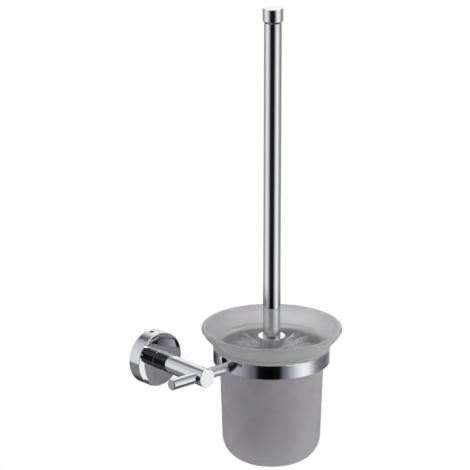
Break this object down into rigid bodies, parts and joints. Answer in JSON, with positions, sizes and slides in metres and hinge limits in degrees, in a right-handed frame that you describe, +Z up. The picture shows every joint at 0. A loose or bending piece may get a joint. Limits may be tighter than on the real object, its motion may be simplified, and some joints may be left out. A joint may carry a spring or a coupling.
{
  "type": "toilet brush holder",
  "caption": "Wall-mounted chrome toilet brush holder: rosette, post and cross rail carry a ring with a frosted glass cup and a long-handled brush.",
  "frame": {"origin": "centre of the wall bracket's back face, on the wall", "axes": "+Z up, along the brush handle; +Y into the wall; the post reaches out along -Y and the ring hangs towards +X"},
  "size_m": [0.173, 0.138, 0.3973],
  "materials": {
    "chrome": "polished",
    "zinc_steel": "zinc plated",
    "dark_steel": "blackened",
    "clear_plastic": "translucent soft plastic",
    "frosted_glass": "acid-etched",
    "white_plastic": "moulded",
    "bristle_nylon": "clear nylon filament"
  },
  "bodies": {
    "holder": {"wall_bracket": "zinc_steel", "wall_screw_upper": "zinc_steel", "wall_screw_lower": "zinc_steel", "wall_flange": "chrome", "flange_grub_screw": "dark_steel", "post": "chrome", "post_screw": "zinc_steel", "post_lock_washer": "zinc_steel", "cross_rail": "chrome", "rail_grub_screw": "dark_steel", "ring": "chrome", "ring_screw": "dark_steel", "ring_liner": "clear_plastic"},
    "cup": {"glass_cup": "frosted_glass"},
    "brush": {"handle_tube": "chrome", "handle_cap": "chrome", "handle_insert": "zinc_steel", "handle_collar": "chrome", "brush_stud": "zinc_steel", "brush_core": "white_plastic", "bristles": "bristle_nylon"}
  },
  "joints": [
    {"name": "cup_lift", "type": "slide", "parent": "holder", "child": "cup", "axis": [0, 0, 1], "range_m": [0, 0.11]},
    {"name": "brush_lift", "type": "slide", "parent": "cup", "child": "brush", "axis": [0, 0, 1], "range_m": [0, 0.12]}
  ]
}
